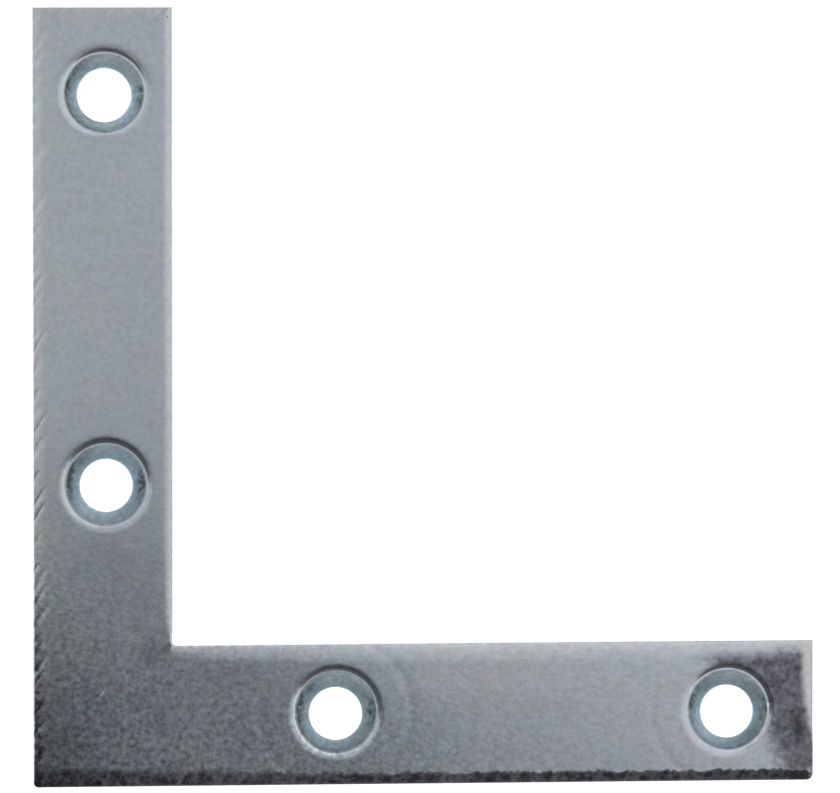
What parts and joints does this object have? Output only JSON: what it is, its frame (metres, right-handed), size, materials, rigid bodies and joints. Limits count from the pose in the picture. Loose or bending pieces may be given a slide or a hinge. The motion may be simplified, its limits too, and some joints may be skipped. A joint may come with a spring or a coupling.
{
  "type": "flat corner brace",
  "caption": "Flat L-shaped steel brace that screws over a corner joint, with countersunk screw holes along both legs.",
  "frame": {"origin": "on the back face, where the row of screw holes in one leg crosses the row in the other", "axes": "+X along one leg, +Y along the other, +Z out of the countersunk face"},
  "size_m": [0.075, 0.075, 0.002],
  "materials": {
    "zinc_plate": "zinc plated, satin"
  },
  "bodies": {
    "root": {"corner_plate": "zinc_plate"}
  },
  "joints": []
}
